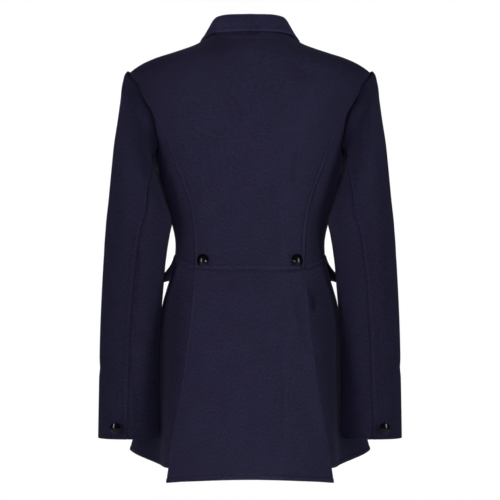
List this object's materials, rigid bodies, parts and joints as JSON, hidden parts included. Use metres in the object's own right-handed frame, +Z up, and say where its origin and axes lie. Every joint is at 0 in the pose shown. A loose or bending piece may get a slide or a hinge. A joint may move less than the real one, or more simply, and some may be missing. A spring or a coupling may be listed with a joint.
{
  "type": "frock coat",
  "caption": "Tailored frock coat in navy wool, hollow as worn, with a waist seam, notched collar, pocket flaps, long set-in sleeves and a flared skirt with pressed back pleats.",
  "frame": {"origin": "middle of the neck opening, level with the tops of the shoulders, where the wearer's neck and shoulders hold the coat up", "axes": "+Z up; the front of the coat faces -Y and its back +Y; the wearer's left is +X"},
  "size_m": [0.514, 0.2785, 0.779],
  "materials": {
    "wool": "matt navy wool melton with a short nap",
    "button": "glossy dark navy domed button"
  },
  "bodies": {
    "root": {"back_panel": "wool", "side_back_left": "wool", "side_back_right": "wool", "front_left": "wool", "front_right": "wool", "lapel_left": "wool", "lapel_right": "wool", "collar": "wool", "top_sleeve_left": "wool", "top_sleeve_right": "wool", "under_sleeve_left": "wool", "under_sleeve_right": "wool", "skirt_back": "wool", "skirt_left": "wool", "skirt_right": "wool", "pocket_flap_left": "wool", "pocket_flap_right": "wool", "back_button_left": "button", "back_button_right": "button", "cuff_button_left": "button", "cuff_button_right": "button", "front_button_1": "button", "front_button_2": "button", "front_button_3": "button", "front_button_4": "button"}
  },
  "joints": []
}
